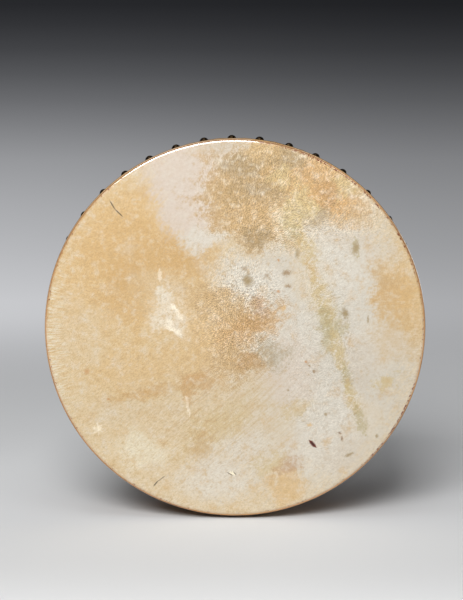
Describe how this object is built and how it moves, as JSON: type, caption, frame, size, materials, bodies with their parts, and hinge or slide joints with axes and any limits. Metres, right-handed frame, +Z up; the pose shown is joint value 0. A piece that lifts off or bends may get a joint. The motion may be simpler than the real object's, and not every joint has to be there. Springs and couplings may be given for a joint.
{
  "type": "frame drum",
  "caption": "Shallow round frame drum: a rawhide head over a bent wooden hoop, held by a row of dark domed tacks, with a crossed grip in the open back.",
  "frame": {"origin": "on the floor under the middle of the drum, which stands upright on its rim: the lowest tack heads are at Z = 0", "axes": "-Y out of the playing face, along the drum's own axis; +X to the right as the face is looked at; +Z up"},
  "size_m": [0.4641, 0.0914, 0.4637],
  "materials": {
    "rawhide": "satin",
    "hoop_wood": "satin",
    "bar_wood": "matte",
    "dark_brass": "polished",
    "screw_steel": "satin",
    "copper": "satin"
  },
  "bodies": {
    "root": {"skin_head": "rawhide", "hoop": "hoop_wood", "grip_bar_across": "bar_wood", "grip_bar_upright": "bar_wood", "bar_screw_right": "screw_steel", "bar_screw_top": "screw_steel", "bar_screw_left": "screw_steel", "bar_screw_bottom": "screw_steel", "lap_tack_outer_1": "copper", "lap_tack_outer_2": "copper", "lap_tack_outer_3": "copper", "lap_tack_inner_1": "copper", "lap_tack_inner_2": "copper", "lap_tack_inner_3": "copper", "lap_tack_inner_4": "copper", "tack_01": "dark_brass", "tack_02": "dark_brass", "tack_03": "dark_brass", "tack_04": "dark_brass", "tack_05": "dark_brass", "tack_06": "dark_brass", "tack_07": "dark_brass", "tack_08": "dark_brass", "tack_09": "dark_brass", "tack_10": "dark_brass", "tack_11": "dark_brass", "tack_12": "dark_brass", "tack_13": "dark_brass", "tack_14": "dark_brass", "tack_15": "dark_brass", "tack_16": "dark_brass", "tack_17": "dark_brass", "tack_18": "dark_brass", "tack_19": "dark_brass", "tack_20": "dark_brass", "tack_21": "dark_brass", "tack_22": "dark_brass", "tack_23": "dark_brass", "tack_24": "dark_brass", "tack_25": "dark_brass", "tack_26": "dark_brass", "tack_27": "dark_brass", "tack_28": "dark_brass", "tack_29": "dark_brass", "tack_30": "dark_brass", "tack_31": "dark_brass", "tack_32": "dark_brass", "tack_33": "dark_brass", "tack_34": "dark_brass", "tack_35": "dark_brass", "tack_36": "dark_brass", "tack_37": "dark_brass", "tack_38": "dark_brass", "tack_39": "dark_brass", "tack_40": "dark_brass"}
  },
  "joints": []
}
